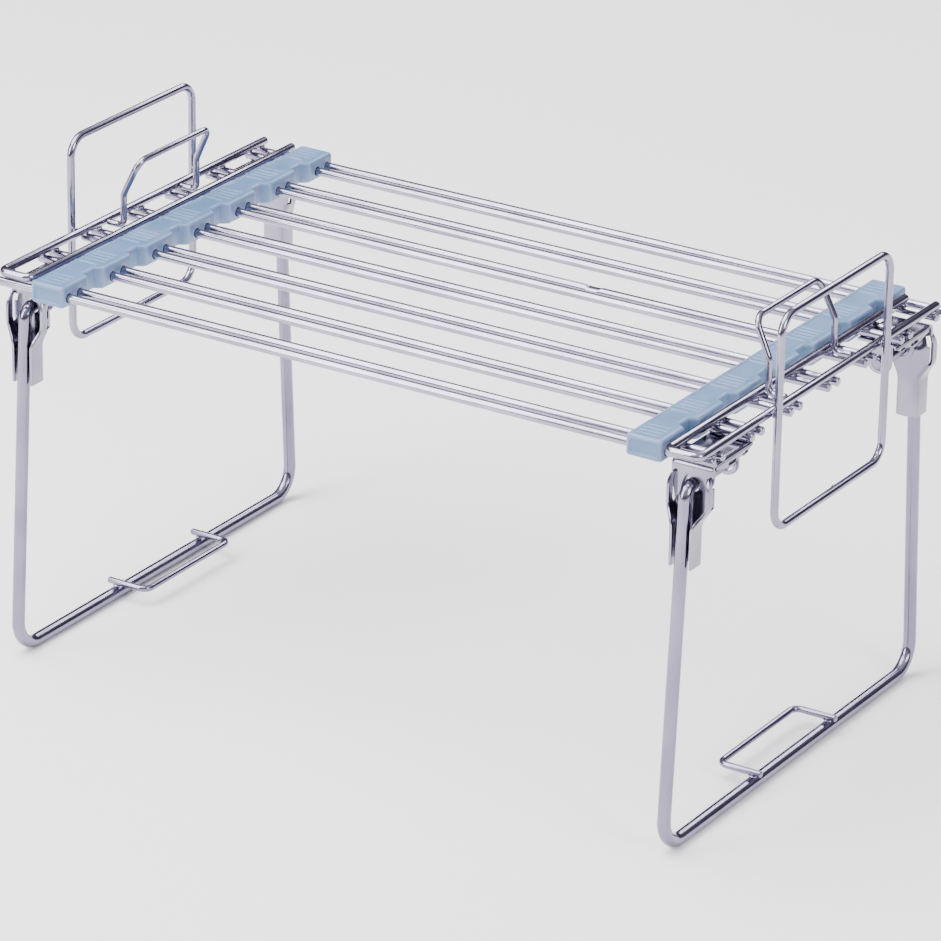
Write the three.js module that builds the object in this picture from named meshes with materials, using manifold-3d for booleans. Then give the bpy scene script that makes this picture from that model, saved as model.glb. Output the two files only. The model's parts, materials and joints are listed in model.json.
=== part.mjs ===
// Expandable, folding, stackable wire rack.
//
// Two mirrored halves interleave their shelf rods.  Each half carries a U-bent end frame, a stacking
// loop, a small arch and two stamped hinge brackets, and a leg folds under it on each side.
// Units are millimetres, +Z is up and the rack stands on z = 0.  Within a half, "out" is the
// distance from the middle of the rack towards that half's end, and "y" runs front (-) to back (+).

import * as THREE from 'three';
import { mergeVertices } from 'three/addons/utils/BufferGeometryUtils.js';
import Module from 'manifold-3d';

const wasm = await Module();
wasm.setup();

// ---- driving dimensions ---------------------------------------------------------------------

const GAP = 0.3;                      // clearance kept where two pieces touch or are welded
const FACET_ALLOWANCE = 0.2;          // extra where the corners of two faceted wires face each other

const ROD_D = 4;
const ROD_COUNT = 7;                  // rods per half
const ROD_PITCH = 32.5;
const ROD_END = 182;                  // how far out both ends of every rod reach
const PAIR_OFFSET = 4;                // each half sits this far from the middle plane, one each way

const FRAME_D = 4;
const FRAME_Z = 182;                  // height of the end frame's wire centre
const FRAME_INNER = 164;
const FRAME_OUTER = 179;
const FRAME_FRONT = 105;              // the closed end of the U
const FRAME_BACK = 101;               // the two cut ends of the U
const FRAME_BEND = 4.5;

const LOOP_D = 3.8;
const LOOP_OUT = FRAME_OUTER + FRAME_D / 2 + LOOP_D / 2 + GAP;
const LOOP_HALF_WIDTH = 47;
const LOOP_BOTTOM = 129.5;
const LOOP_TOP = 225;
const LOOP_CORNER = 9;

const ARCH_D = 3;
const ARCH_FOOT_OUT = FRAME_INNER + FRAME_D / 2 + ARCH_D / 2 + GAP + FACET_ALLOWANCE;
const ARCH_HALF_WIDTH = 28.4;
const ARCH_KNEE_Z = 197;
const ARCH_TOP_Z = 213.7;
const ARCH_TOP_OUT = 160;
const ARCH_BENDS = [3, 6, 6, 6, 6, 3];

const LEG_D = 6;
const LEG_OUT = 170.3;
const LEG_FOOT_Y = 110.5;             // half spread of the leg at the floor
const LEG_TOP_Y = 100.6;              // half spread of the leg at its hinge
const LEG_FOOT_CORNER = 13;
const PIVOT_Z = 164.5;                // hinge axis, along Y
const PIN_BEND = 5.5;
const PIN_TIP_Y = 64;                 // the hinge pin ends this far from the half's middle

const FOOT_CLIP_D = 3.2;
const FOOT_CLIP_BEND = 4;
const FOOT_CLIP_HALF_WIDTH = 33.2;
const FOOT_CLIP_OUT = 174.8;
const FOOT_CLIP_IN = 153.8;

const SHEET = 1.2;                    // thickness of every stamped piece
const PLATE_TOP = FRAME_Z - FRAME_D / 2 - GAP - ROD_D - GAP;
const PLATE_IN = 162.3;
const PLATE_OUT = 180.4;
const PLATE_REAR_Y = 62.5;            // hinge bracket runs from here out to its apron
const APRON_Y = 96.1;                 // outer face of the apron
const LUG_YS = [66, 86];              // inner faces of the two lugs that hold the hinge pin
const LUG_HALF_WIDTH = 6;
const LUG_DROP = 5.4;                 // how far a lug reaches below the hinge axis
const PIN_HOLE = LEG_D / 2 + 0.6;

const CLIP_WEB_Y = 93.3;              // inner face of the leg clip's web
const CLIP_FRONT_Y = 103;             // outer edge of its two walls

const BAR_FACE_IN = 142.2;
const BAR_WIDTH = 17.4;
const BAR_BOTTOM = 173.5;
const BAR_TOP = 183.5;
const BAR_HALF_LENGTH = 106;
const BAR_RECESS = 3.4;               // how deep the wall steps back between two bosses
const BOSS_HALF = 10.5;               // half length of a boss around a pair of rods
const BOSS_SLOPE = 1.5;               // length of the slope between a boss and a recess
const BAR_CHAMFER = 2;
const BAR_HOLE_D = ROD_D + 2 * GAP;

const STOP_START = 37;                // flattened stop on one rod, just past the bar's travel
const STOP_LENGTH = 9;
const STOP_RADIUS = 2.5;
const STOP_ROD = 4;                   // counted from the front, starting at 0

const ARCH_SIDES = 8;                 // the thinnest wires: arches and foot clips
const WIRE_SIDES = 10;
const LEG_SIDES = 12;
const ROD_Z = FRAME_Z - FRAME_D / 2 - GAP - ROD_D / 2;

// ---- materials ------------------------------------------------------------------------------

const chrome = () => new THREE.MeshStandardMaterial({ color: 0xb8b4c6, roughness: 0.18, metalness: 1 });
const stamped = () => new THREE.MeshStandardMaterial({ color: 0xaeaab8, roughness: 0.28, metalness: 1 });
const plastic = () => new THREE.MeshStandardMaterial({ color: 0x96afd0, roughness: 0.45, metalness: 0 });

// ---- shape helpers --------------------------------------------------------------------------

const vec = (x, y, z) => new THREE.Vector3(x, y, z);

// A bent wire's centre line: straight runs with a round bend at each corner.  Its stations lie only
// at the ends and along the bends, so a straight run is a single step.
class WirePath extends THREE.Curve {
  constructor(corners, bends, closed = false) {
    super();
    this.stations = [];
    this.closed = closed;
    const count = corners.length;
    corners.forEach((corner, i) => {
      const isEnd = !closed && (i === 0 || i === count - 1);
      const before = corners[(i + count - 1) % count];
      const after = corners[(i + 1) % count];
      if (isEnd) this.addEnd(corner, i === 0 ? after : before, i === 0);
      else this.addBend(before, corner, after, Array.isArray(bends) ? bends[i - 1] : bends);
    });
  }

  addEnd(corner, neighbour, isStart) {
    const tangent = neighbour.clone().sub(corner).normalize();
    if (!isStart) tangent.negate();
    this.stations.push({ point: corner.clone(), tangent });
  }

  addBend(before, corner, after, radius) {
    const incoming = corner.clone().sub(before).normalize();
    const outgoing = after.clone().sub(corner).normalize();
    const turn = incoming.angleTo(outgoing);
    const axis = incoming.clone().cross(outgoing).normalize();
    const start = corner.clone().addScaledVector(incoming, -radius * Math.tan(turn / 2));
    const toCentre = axis.clone().cross(incoming);
    const centre = start.clone().addScaledVector(toCentre, radius);
    const steps = Math.max(2, Math.ceil(turn / (Math.PI / 8)));
    for (let k = 0; k <= steps; k += 1) {
      const angle = (turn * k) / steps;
      const spoke = toCentre.clone().multiplyScalar(-radius).applyAxisAngle(axis, angle);
      const tangent = incoming.clone().applyAxisAngle(axis, angle);
      this.stations.push({ point: centre.clone().add(spoke), tangent });
    }
  }

  get steps() {
    return this.closed ? this.stations.length : this.stations.length - 1;
  }

  station(u) {
    return this.stations[Math.round(u * this.steps) % this.stations.length];
  }

  getPointAt(u) {
    return this.station(u).point.clone();
  }

  getTangentAt(u) {
    return this.station(u).tangent.clone();
  }
}

function wireSection(diameter, sides) {
  const radius = diameter / 2 / Math.cos(Math.PI / sides);
  const points = [];
  for (let i = 0; i < sides; i += 1) {
    const angle = ((i + 0.5) / sides) * 2 * Math.PI;
    points.push(new THREE.Vector2(radius * Math.cos(angle), radius * Math.sin(angle)));
  }
  return new THREE.Shape(points);
}

function openWire(corners, bends, diameter, sides = WIRE_SIDES) {
  const path = new WirePath(corners, bends);
  const section = wireSection(diameter, sides);
  return new THREE.ExtrudeGeometry(section, { steps: path.steps, extrudePath: path });
}

function closedWire(corners, bend, diameter) {
  const path = new WirePath(corners, bend, true);
  return new THREE.TubeGeometry(path, path.steps, diameter / 2, WIRE_SIDES, true);
}

function toSolid(geometry) {
  const bare = geometry.clone();
  bare.deleteAttribute('normal');
  bare.deleteAttribute('uv');
  const merged = mergeVertices(bare);
  return new wasm.Manifold(new wasm.Mesh({
    numProp: 3,
    vertProperties: new Float32Array(merged.attributes.position.array),
    triVerts: new Uint32Array(merged.index.array),
  }));
}

function toGeometry(solid) {
  const mesh = solid.getMesh();
  const geometry = new THREE.BufferGeometry();
  geometry.setAttribute('position', new THREE.BufferAttribute(mesh.vertProperties, 3));
  geometry.setIndex(new THREE.BufferAttribute(mesh.triVerts, 1));
  const flat = geometry.toNonIndexed();
  flat.computeVertexNormals();
  return flat;
}

// A flat outline in the (out, z) plane, thickened along y from y0 to y1.
function slabAcross(outline, y0, y1, holes = []) {
  const shape = new THREE.Shape(outline.map(([out, z]) => new THREE.Vector2(out, z)));
  holes.forEach((hole) => shape.holes.push(hole));
  const options = { depth: y1 - y0, bevelEnabled: false, curveSegments: 6 };
  const geometry = new THREE.ExtrudeGeometry(shape, options);
  geometry.rotateX(Math.PI / 2);
  geometry.translate(0, y1, 0);
  return geometry;
}

// A flat outline in the (y, z) plane, thickened outwards from out0 to out1.
function slabAlong(outline, out0, out1, holes = []) {
  const shape = new THREE.Shape(outline.map(([y, z]) => new THREE.Vector2(y, z)));
  holes.forEach((hole) => shape.holes.push(hole));
  const geometry = new THREE.ExtrudeGeometry(shape, { depth: out1 - out0, bevelEnabled: false });
  geometry.rotateX(Math.PI / 2);
  geometry.rotateZ(Math.PI / 2);
  geometry.translate(out0, 0, 0);
  return geometry;
}

function box(out0, out1, y0, y1, z0, z1) {
  const geometry = new THREE.BoxGeometry(out1 - out0, y1 - y0, z1 - z0);
  geometry.translate((out0 + out1) / 2, (y0 + y1) / 2, (z0 + z1) / 2);
  return geometry;
}

function roundHole(cx, cy, radius) {
  const path = new THREE.Path();
  path.absarc(cx, cy, radius, 0, 2 * Math.PI, true);
  return path;
}

// Reflects a shape across the plane x = 0, y = 0 or both, keeping its faces pointing outwards.
function reflect(geometry, flipX, flipY) {
  const copy = geometry.index ? geometry.toNonIndexed() : geometry.clone();
  copy.scale(flipX ? -1 : 1, flipY ? -1 : 1, 1);
  if (flipX !== flipY) {
    const position = copy.attributes.position;
    for (let i = 0; i < position.count; i += 3) {
      const second = vec().fromBufferAttribute(position, i + 1);
      const third = vec().fromBufferAttribute(position, i + 2);
      position.setXYZ(i + 1, third.x, third.y, third.z);
      position.setXYZ(i + 2, second.x, second.y, second.z);
    }
  }
  copy.deleteAttribute('uv');
  copy.computeVertexNormals();
  return copy;
}

// ---- pieces, all drawn for the right half ---------------------------------------------------

// One length of wire bent into a U: closed at the front, two cut ends at the back.
function endFrame() {
  const corners = [
    vec(FRAME_INNER, FRAME_BACK, FRAME_Z),
    vec(FRAME_INNER, -FRAME_FRONT, FRAME_Z),
    vec(FRAME_OUTER, -FRAME_FRONT, FRAME_Z),
    vec(FRAME_OUTER, FRAME_BACK, FRAME_Z),
  ];
  return openWire(corners, FRAME_BEND, FRAME_D);
}

function shelfRod(hasStop) {
  const radius = ROD_D / 2;
  const chamfer = 0.6;
  const profile = [[0, -ROD_END], [radius - chamfer, -ROD_END], [radius, chamfer - ROD_END]];
  if (hasStop) {
    const slope = 1.5;
    profile.push([radius, STOP_START], [STOP_RADIUS, STOP_START + slope]);
    profile.push([STOP_RADIUS, STOP_START + STOP_LENGTH - slope], [radius, STOP_START + STOP_LENGTH]);
  }
  profile.push([radius, ROD_END - chamfer], [radius - chamfer, ROD_END], [0, ROD_END]);
  const points = profile.map(([r, along]) => new THREE.Vector2(r, along));
  const geometry = new THREE.LatheGeometry(points, WIRE_SIDES);
  geometry.rotateZ(-Math.PI / 2);
  return geometry;
}

function stackingLoop() {
  const corners = [
    vec(LOOP_OUT, -LOOP_HALF_WIDTH, LOOP_BOTTOM),
    vec(LOOP_OUT, LOOP_HALF_WIDTH, LOOP_BOTTOM),
    vec(LOOP_OUT, LOOP_HALF_WIDTH, LOOP_TOP),
    vec(LOOP_OUT, -LOOP_HALF_WIDTH, LOOP_TOP),
  ];
  return closedWire(corners, LOOP_CORNER, LOOP_D);
}

// The small arch stands between the two long wires and leans in over the guide bar.
function stackingArch() {
  const tip = FRAME_OUTER - FRAME_D / 2 - GAP;
  const half = [
    vec(tip, -ARCH_HALF_WIDTH, FRAME_Z),
    vec(ARCH_FOOT_OUT, -ARCH_HALF_WIDTH, FRAME_Z),
    vec(ARCH_FOOT_OUT, -ARCH_HALF_WIDTH, ARCH_KNEE_Z),
    vec(ARCH_TOP_OUT, 1 - ARCH_HALF_WIDTH, ARCH_TOP_Z),
  ];
  const otherHalf = half.map((p) => vec(p.x, -p.y, p.z)).reverse();
  return openWire([...half, ...otherHalf], ARCH_BENDS, ARCH_D, ARCH_SIDES);
}

function legWire() {
  const z = LEG_D / 2;
  const corners = [
    vec(LEG_OUT, -PIN_TIP_Y, PIVOT_Z),
    vec(LEG_OUT, -LEG_TOP_Y, PIVOT_Z),
    vec(LEG_OUT, -LEG_FOOT_Y, z),
    vec(LEG_OUT, LEG_FOOT_Y, z),
    vec(LEG_OUT, LEG_TOP_Y, PIVOT_Z),
    vec(LEG_OUT, PIN_TIP_Y, PIVOT_Z),
  ];
  return openWire(corners, [PIN_BEND, LEG_FOOT_CORNER, LEG_FOOT_CORNER, PIN_BEND], LEG_D, LEG_SIDES);
}

function footClip() {
  const z = LEG_D + GAP + FOOT_CLIP_D / 2;
  const corners = [
    vec(FOOT_CLIP_OUT, -FOOT_CLIP_HALF_WIDTH, z),
    vec(FOOT_CLIP_IN, -FOOT_CLIP_HALF_WIDTH, z),
    vec(FOOT_CLIP_IN, FOOT_CLIP_HALF_WIDTH, z),
    vec(FOOT_CLIP_OUT, FOOT_CLIP_HALF_WIDTH, z),
  ];
  return openWire(corners, FOOT_CLIP_BEND, FOOT_CLIP_D, ARCH_SIDES);
}

// Stamped bracket under a corner of the frame: a plate, an apron folded down at its outer end with
// an arched opening and a pointed tongue, a scalloped side flange, and two lugs for the hinge pin.
function hingeBracket() {
  const z0 = PLATE_TOP - SHEET;
  const apronOutline = [
    [PLATE_IN, PLATE_TOP], [PLATE_IN, 167.5], [163.0, 163.0], [164.3, 158.8], [165.6, 161.5],
    [166.3, 165.2], [167.8, 168.5], [171.0, 170.5], [174.5, 170.2], [177.5, 168.9],
    [PLATE_OUT, 169.6], [PLATE_OUT, PLATE_TOP],
  ];
  const flangeOutline = [
    [PLATE_REAR_Y, PLATE_TOP], [PLATE_REAR_Y, 173.2], [66, 171.2], [69, 169.6], [72, 170.2],
    [75.5, 169.2], [79.5, 167.6], [83.5, 168.4], [88, 169.8], [92.5, 171.4], [92.5, PLATE_TOP],
  ];
  const slots = [slot(68.8, 171.6, 1.7, 0.8), slot(79.3, 170.6, 2.6, 1.0)];
  const lugTop = z0 + SHEET / 2;
  const lugOutline = [
    [LEG_OUT - LUG_HALF_WIDTH, lugTop], [LEG_OUT - LUG_HALF_WIDTH, PIVOT_Z - 2],
    [LEG_OUT - 3.5, PIVOT_Z - LUG_DROP], [LEG_OUT + 3.5, PIVOT_Z - LUG_DROP],
    [LEG_OUT + LUG_HALF_WIDTH, PIVOT_Z - 2], [LEG_OUT + LUG_HALF_WIDTH, lugTop],
  ];
  let solid = toSolid(box(PLATE_IN, PLATE_OUT, PLATE_REAR_Y, APRON_Y, z0, PLATE_TOP));
  solid = solid.add(toSolid(slabAcross(apronOutline, APRON_Y - SHEET, APRON_Y)));
  solid = solid.add(toSolid(slabAlong(flangeOutline, PLATE_OUT - SHEET, PLATE_OUT, slots)));
  for (const y of LUG_YS) {
    const hole = roundHole(LEG_OUT, PIVOT_Z, PIN_HOLE);
    solid = solid.add(toSolid(slabAcross(lugOutline, y, y + SHEET, [hole])));
  }
  return toGeometry(solid);
}

function slot(cy, cz, halfLength, radius) {
  const path = new THREE.Path();
  path.absarc(cy + halfLength, cz, radius, Math.PI / 2, -Math.PI / 2, true);
  path.absarc(cy - halfLength, cz, radius, -Math.PI / 2, -1.5 * Math.PI, true);
  return path;
}

// Spade-shaped channel on the top of a leg.  Its web stands behind the bracket's apron and carries
// the pin, and its two walls reach forwards past the apron and hug the leg wire.
function legClip() {
  const at = ([out, z]) => [LEG_OUT + out, PIVOT_Z + z];
  const bottom = -34.5;
  const ear = 9.2;
  const outerEar = 10.6;
  const neck = 5.4;
  const web = [
    [-neck, bottom], [neck, bottom], [neck, -17], [outerEar, -7], [outerEar, 3], [9, 7], [4.5, ear],
  ];
  for (let k = 0; k <= 5; k += 1) {
    const angle = Math.PI * (0.5 + (k / 5) * 0.5);
    web.push([ear * Math.cos(angle), ear * Math.sin(angle)]);
  }
  web.push([-ear, -7], [-neck, -17]);
  const wall = (side, edge) => [
    [side * neck, bottom], [side * neck, -17], [side * edge, -7], [side * edge, 1.5],
    [side * (edge - 1.5), 5.6], [side * (edge - 1.5 - SHEET), 5.0], [side * (edge - SHEET), 1.2],
    [side * (edge - SHEET), -6.7], [side * (neck - SHEET), -16.7], [side * (neck - SHEET), bottom],
  ].map(at);
  const hole = roundHole(LEG_OUT, PIVOT_Z, PIN_HOLE);
  const webTop = CLIP_WEB_Y + SHEET;
  let solid = toSolid(slabAcross(web.map(at), CLIP_WEB_Y, webTop, [hole]));
  solid = solid.add(toSolid(slabAcross(wall(-1, ear).reverse(), CLIP_WEB_Y, CLIP_FRONT_Y)));
  solid = solid.add(toSolid(slabAcross(wall(1, outerEar), CLIP_WEB_Y, CLIP_FRONT_Y)));
  const apronSlot = box(LEG_OUT - 20, LEG_OUT + 20, webTop, APRON_Y + 0.6, PIVOT_Z - 9.5, PIVOT_Z + 20);
  return toGeometry(solid.subtract(toSolid(apronSlot)));
}

// Moulded bar threaded by all the rods.  One long side is straight and the other steps out into a
// boss around each pair of rods.  It is drawn with the bosses on the +x side.
function guideBar(xStart) {
  const xBoss = xStart + BAR_WIDTH;
  const xRecess = xBoss - BAR_RECESS;
  const shape = new THREE.Shape();
  shape.moveTo(xStart, -BAR_HALF_LENGTH);
  shape.lineTo(xBoss - BAR_CHAMFER, -BAR_HALF_LENGTH);
  shape.lineTo(xBoss, BAR_CHAMFER - BAR_HALF_LENGTH);
  for (let i = 0; i < ROD_COUNT - 1; i += 1) {
    const middle = (i - (ROD_COUNT - 2) / 2) * ROD_PITCH;
    const reach = ROD_PITCH / 2 - BOSS_HALF;
    shape.lineTo(xBoss, middle - reach);
    shape.lineTo(xRecess, middle - reach + BOSS_SLOPE);
    shape.lineTo(xRecess, middle + reach - BOSS_SLOPE);
    shape.lineTo(xBoss, middle + reach);
  }
  shape.lineTo(xBoss, BAR_HALF_LENGTH - BAR_CHAMFER);
  shape.lineTo(xBoss - BAR_CHAMFER, BAR_HALF_LENGTH);
  shape.lineTo(xStart, BAR_HALF_LENGTH);
  const height = BAR_TOP - BAR_BOTTOM;
  const body = new THREE.ExtrudeGeometry(shape, { depth: height, bevelEnabled: false });
  body.translate(0, 0, BAR_BOTTOM);
  let solid = toSolid(body);
  for (const y of rodPositions(-PAIR_OFFSET).concat(rodPositions(PAIR_OFFSET))) {
    const bore = new THREE.CylinderGeometry(BAR_HOLE_D / 2, BAR_HOLE_D / 2, BAR_WIDTH + 4, WIRE_SIDES);
    bore.rotateZ(Math.PI / 2);
    bore.translate(xStart + BAR_WIDTH / 2, y, ROD_Z);
    solid = solid.subtract(toSolid(bore));
  }
  return toGeometry(solid);
}

function rodPositions(offset) {
  const middle = (ROD_COUNT - 1) / 2;
  return Array.from({ length: ROD_COUNT }, (unused, i) => (i - middle) * ROD_PITCH + offset);
}

// ---- assembly -------------------------------------------------------------------------------

function addPiece(group, name, geometry, material) {
  const mesh = new THREE.Mesh(geometry, material);
  mesh.name = name;
  group.add(mesh);
  return mesh;
}

// Everything that is welded to one end frame, and the leg that hangs from it.
function buildHalf(side) {
  const isLeft = side === 'left';
  const half = new THREE.Group();
  half.position.y = isLeft ? PAIR_OFFSET : -PAIR_OFFSET;
  const turned = (geometry) => reflect(geometry, isLeft, false);
  addPiece(half, `${side}_end_frame`, turned(endFrame()), chrome());
  addPiece(half, `${side}_stacking_loop`, turned(stackingLoop()), chrome());
  addPiece(half, `${side}_stacking_arch`, turned(stackingArch()), chrome());
  addPiece(half, `${side}_leg`, turned(legWire()), chrome());
  addPiece(half, `${side}_foot_clip`, turned(footClip()), chrome());
  for (const end of ['front', 'back']) {
    const placed = (geometry) => reflect(geometry, isLeft, end === 'front');
    addPiece(half, `${side}_${end}_hinge_bracket`, placed(hingeBracket()), stamped());
    addPiece(half, `${side}_${end}_leg_clip`, placed(legClip()), stamped());
  }
  rodPositions(0).forEach((y, i) => {
    const rod = shelfRod(isLeft && i === STOP_ROD);
    const mesh = addPiece(half, `${side}_rod_${i + 1}`, rod, chrome());
    mesh.position.set(0, y, ROD_Z);
  });
  return half;
}

const rack = new THREE.Group();
rack.name = 'folding_wire_rack';
rack.add(buildHalf('left'), buildHalf('right'));
addPiece(rack, 'left_guide_bar', guideBar(-BAR_FACE_IN - BAR_WIDTH), plastic());
addPiece(rack, 'right_guide_bar', guideBar(BAR_FACE_IN), plastic());

export default rack;
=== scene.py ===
import json
import math

import bmesh
import bpy
from mathutils import Matrix, Vector


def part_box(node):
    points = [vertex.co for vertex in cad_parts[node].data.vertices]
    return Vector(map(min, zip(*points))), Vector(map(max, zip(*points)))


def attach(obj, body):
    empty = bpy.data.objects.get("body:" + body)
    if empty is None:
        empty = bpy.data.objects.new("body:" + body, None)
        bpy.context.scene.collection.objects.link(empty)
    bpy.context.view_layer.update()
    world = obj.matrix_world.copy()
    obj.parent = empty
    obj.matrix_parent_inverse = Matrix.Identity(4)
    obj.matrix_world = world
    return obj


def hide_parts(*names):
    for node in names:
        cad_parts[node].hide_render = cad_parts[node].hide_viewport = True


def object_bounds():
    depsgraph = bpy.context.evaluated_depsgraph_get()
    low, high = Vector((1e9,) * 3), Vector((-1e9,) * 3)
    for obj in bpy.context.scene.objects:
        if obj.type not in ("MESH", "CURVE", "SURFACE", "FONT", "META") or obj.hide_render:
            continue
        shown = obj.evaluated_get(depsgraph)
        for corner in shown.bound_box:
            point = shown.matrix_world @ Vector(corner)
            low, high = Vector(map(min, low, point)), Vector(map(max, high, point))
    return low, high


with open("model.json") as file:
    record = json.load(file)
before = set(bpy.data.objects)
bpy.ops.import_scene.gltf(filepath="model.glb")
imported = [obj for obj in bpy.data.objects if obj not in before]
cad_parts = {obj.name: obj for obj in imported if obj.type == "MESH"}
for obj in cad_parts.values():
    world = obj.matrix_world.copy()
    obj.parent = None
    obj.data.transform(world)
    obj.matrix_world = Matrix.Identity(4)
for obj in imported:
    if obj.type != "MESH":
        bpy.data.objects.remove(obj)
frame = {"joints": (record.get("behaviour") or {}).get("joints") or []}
cad_low, cad_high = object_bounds()

# Everything is in metres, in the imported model's frame: x along the rods, y to the back, z up.
# "out" is the distance from the middle of the rack towards one end.
MM = 0.001

# ---- camera ---------------------------------------------------------------------------------

CAMERA_AZIMUTH = math.radians(31.85)
CAMERA_ELEVATION = math.radians(23.22)
CAMERA_ROLL = math.radians(0.98)
CAMERA_DISTANCE = 2.452
CAMERA_LENS = 211.8
CAMERA_SENSOR = 36
CAMERA_REACH = 20
CAMERA_TARGET_HEIGHT = 0.100
CAMERA_SLIDE_RIGHT = 1.64 * MM
CAMERA_SLIDE_UP = -5.08 * MM

# ---- sizes of wire, sheet and holes ---------------------------------------------------------

ROUND_SIDES = 28                      # points round a wire
HOLE_SIDES = 32                       # points round a hole
SLOT_END_STEPS = 8
BEND_STEP = math.radians(7)
END_ROUNDING = 0.45                   # share of a wire's radius that its cut ends are rounded by

FRAME_BEND = 3.4 * MM
LOOP_BEND = 9 * MM
ARCH_BENDS = [3 * MM, 6 * MM, 6 * MM, 6 * MM, 6 * MM, 3 * MM]
LEG_PIN_BEND = 5.5 * MM
LEG_FOOT_BEND = 13 * MM
FOOT_CLIP_BEND = 4 * MM
FACET_SHARE = 0.97                    # a round wire's radius against half the faceted part's height
FRAME_FACET_SHARE = 0.975

SHEET = 1.2 * MM
SHEET_EDGE = 0.25 * MM
BEVEL_OVER = math.radians(55)         # edges of the sheet that turn by more than this are rounded

ROD_COUNT = 7
STOP_ROD = "left_rod_5"


def new_object(name, mesh, material):
    obj = bpy.data.objects.new(name, mesh)
    bpy.context.scene.collection.objects.link(obj)
    if material:
        obj.data.materials.clear()
        obj.data.materials.append(material)
    for polygon in obj.data.polygons:
        polygon.use_smooth = True
    return obj


def baked_mesh(obj):
    """The object's mesh with its modifiers applied; the object itself is removed."""
    bpy.context.view_layer.update()
    graph = bpy.context.evaluated_depsgraph_get()
    mesh = bpy.data.meshes.new_from_object(obj.evaluated_get(graph))
    bpy.data.objects.remove(obj)
    return mesh


def joined(name, meshes, material):
    """One object made of several meshes."""
    bm = bmesh.new()
    for mesh in meshes:
        bm.from_mesh(mesh)
    bmesh.ops.recalc_face_normals(bm, faces=bm.faces)
    mesh = bpy.data.meshes.new(name)
    bm.to_mesh(mesh)
    bm.free()
    return new_object(name, mesh, material)


def shade_by_angle(obj, degrees=32):
    """Smooth shading, with an edge wherever the surface turns sharply."""
    bm = bmesh.new()
    bm.from_mesh(obj.data)
    limit = math.radians(degrees)
    for edge in bm.edges:
        edge.smooth = len(edge.link_faces) == 2 and edge.calc_face_angle(0) < limit
    bm.to_mesh(obj.data)
    bm.free()


# ---- bent wire ------------------------------------------------------------------------------

def rounded_route(corners, bends, closed=False):
    """Points along a bent wire: straight runs with a round bend at each corner."""
    count = len(corners)
    radii = bends if isinstance(bends, list) else [bends] * count
    if not closed and isinstance(bends, list):
        radii = [0, *bends, 0]
    points = []
    for i, corner in enumerate(corners):
        if not closed and i in (0, count - 1):
            points.append(corner.copy())
            continue
        incoming = (corner - corners[i - 1]).normalized()
        outgoing = (corners[(i + 1) % count] - corner).normalized()
        turn = incoming.angle(outgoing)
        axis = incoming.cross(outgoing).normalized()
        start = corner - incoming * radii[i] * math.tan(turn / 2)
        to_centre = axis.cross(incoming)
        centre = start + to_centre * radii[i]
        steps = max(3, math.ceil(turn / BEND_STEP))
        for k in range(steps + 1):
            spoke = Matrix.Rotation(turn * k / steps, 3, axis) @ (-to_centre * radii[i])
            points.append(centre + spoke)
    return points


def route_tangents(points, closed):
    count = len(points)
    tangents = []
    for i in range(count):
        before = points[i - 1] if closed or i else points[i]
        after = points[(i + 1) % count] if closed or i < count - 1 else points[i]
        tangents.append((after - before).normalized())
    return tangents


def cut_end_rings(point, tangent, normal, radius, outward):
    """Rings that round off a cut end: (centre, normal, radius), from the wire towards its end."""
    rounding = radius * END_ROUNDING
    rings = []
    for k in range(1, 5):
        angle = math.pi / 2 * k / 4
        centre = point + tangent * outward * (rounding * math.sin(angle) - rounding)
        rings.append((centre, normal, radius - rounding * (1 - math.cos(angle))))
    return rings


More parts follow.
